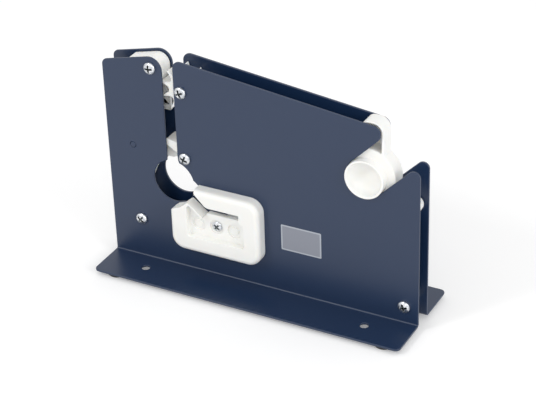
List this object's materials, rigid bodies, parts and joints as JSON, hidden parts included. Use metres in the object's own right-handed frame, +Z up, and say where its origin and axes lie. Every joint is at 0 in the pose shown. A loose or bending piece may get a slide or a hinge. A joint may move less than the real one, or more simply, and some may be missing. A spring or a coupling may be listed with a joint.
{
  "type": "bag neck sealer",
  "caption": "Bench-top bag neck sealer: bent steel side plates with a slot for a bag's neck, a tape hub, toothed feed wheel, sprung arms, tape cutter and guarded trimming blade.",
  "frame": {"origin": "centre of the footprint, on the surface that the feet stand on", "axes": "+X from the bag slot to the tape hub, +Y from the front plate to the rear one, +Z up"},
  "size_m": [0.216, 0.073, 0.1508],
  "materials": {
    "painted_steel": "satin powder coat",
    "painted_pin": "satin powder coat",
    "white_plastic": "satin moulded",
    "zinc_plate": "bright zinc",
    "bare_steel": "ground",
    "spring_steel": "drawn wire",
    "black_rubber": "matt"
  },
  "bodies": {
    "frame": {"front_plate": "painted_steel", "rear_plate": "painted_steel", "arm_sleeve": "zinc_plate", "wheel_sleeve": "zinc_plate", "cutter_sleeve": "zinc_plate", "shoe_sleeve": "zinc_plate", "tail_sleeve": "zinc_plate", "front_screws": "zinc_plate", "rear_screws": "zinc_plate", "spring_post": "painted_pin", "stop_post": "bare_steel", "arm_spring": "spring_steel", "cutter_spring": "spring_steel", "shoe_spring": "spring_steel", "trim_guard": "white_plastic", "trim_blade": "bare_steel", "guard_screw": "zinc_plate", "guard_nut": "zinc_plate", "rubber_feet": "black_rubber"},
    "arm": {"pressure_arm": "white_plastic"},
    "wheel": {"feed_wheel": "white_plastic"},
    "cutter": {"cutter_lever": "white_plastic", "tape_knife": "bare_steel", "knife_rivets": "zinc_plate"},
    "shoe": {"neck_shoe": "white_plastic"},
    "hub": {"tape_hub": "white_plastic"}
  },
  "joints": [
    {"name": "hub_spin", "type": "hinge", "parent": "frame", "child": "hub", "pos_m": [0.073, 0, 0.1], "axis": [0, 1, 0], "continuous": true},
    {"name": "wheel_spin", "type": "hinge", "parent": "frame", "child": "wheel", "pos_m": [-0.0519, 0, 0.1304], "axis": [0, 1, 0], "continuous": true},
    {"name": "arm_swing", "type": "hinge", "parent": "frame", "child": "arm", "pos_m": [-0.0728, 0, 0.143], "axis": [0, 1, 0], "range_deg": [0, 12], "stiffness_Nm_per_rad": 0.05, "springref_deg": -34.38, "deforming": ["arm_spring"]},
    {"name": "cutter_swing", "type": "hinge", "parent": "frame", "child": "cutter", "pos_m": [-0.0514, 0, 0.0844], "axis": [0, -1, 0], "range_deg": [0, 60], "stiffness_Nm_per_rad": 0.03, "springref_deg": -45.84, "deforming": ["cutter_spring"]},
    {"name": "shoe_swing", "type": "hinge", "parent": "frame", "child": "shoe", "pos_m": [-0.0865, 0, 0.0324], "axis": [0, -1, 0], "range_deg": [0, 6], "stiffness_Nm_per_rad": 0.05, "springref_deg": -34.38, "deforming": ["shoe_spring"]}
  ]
}
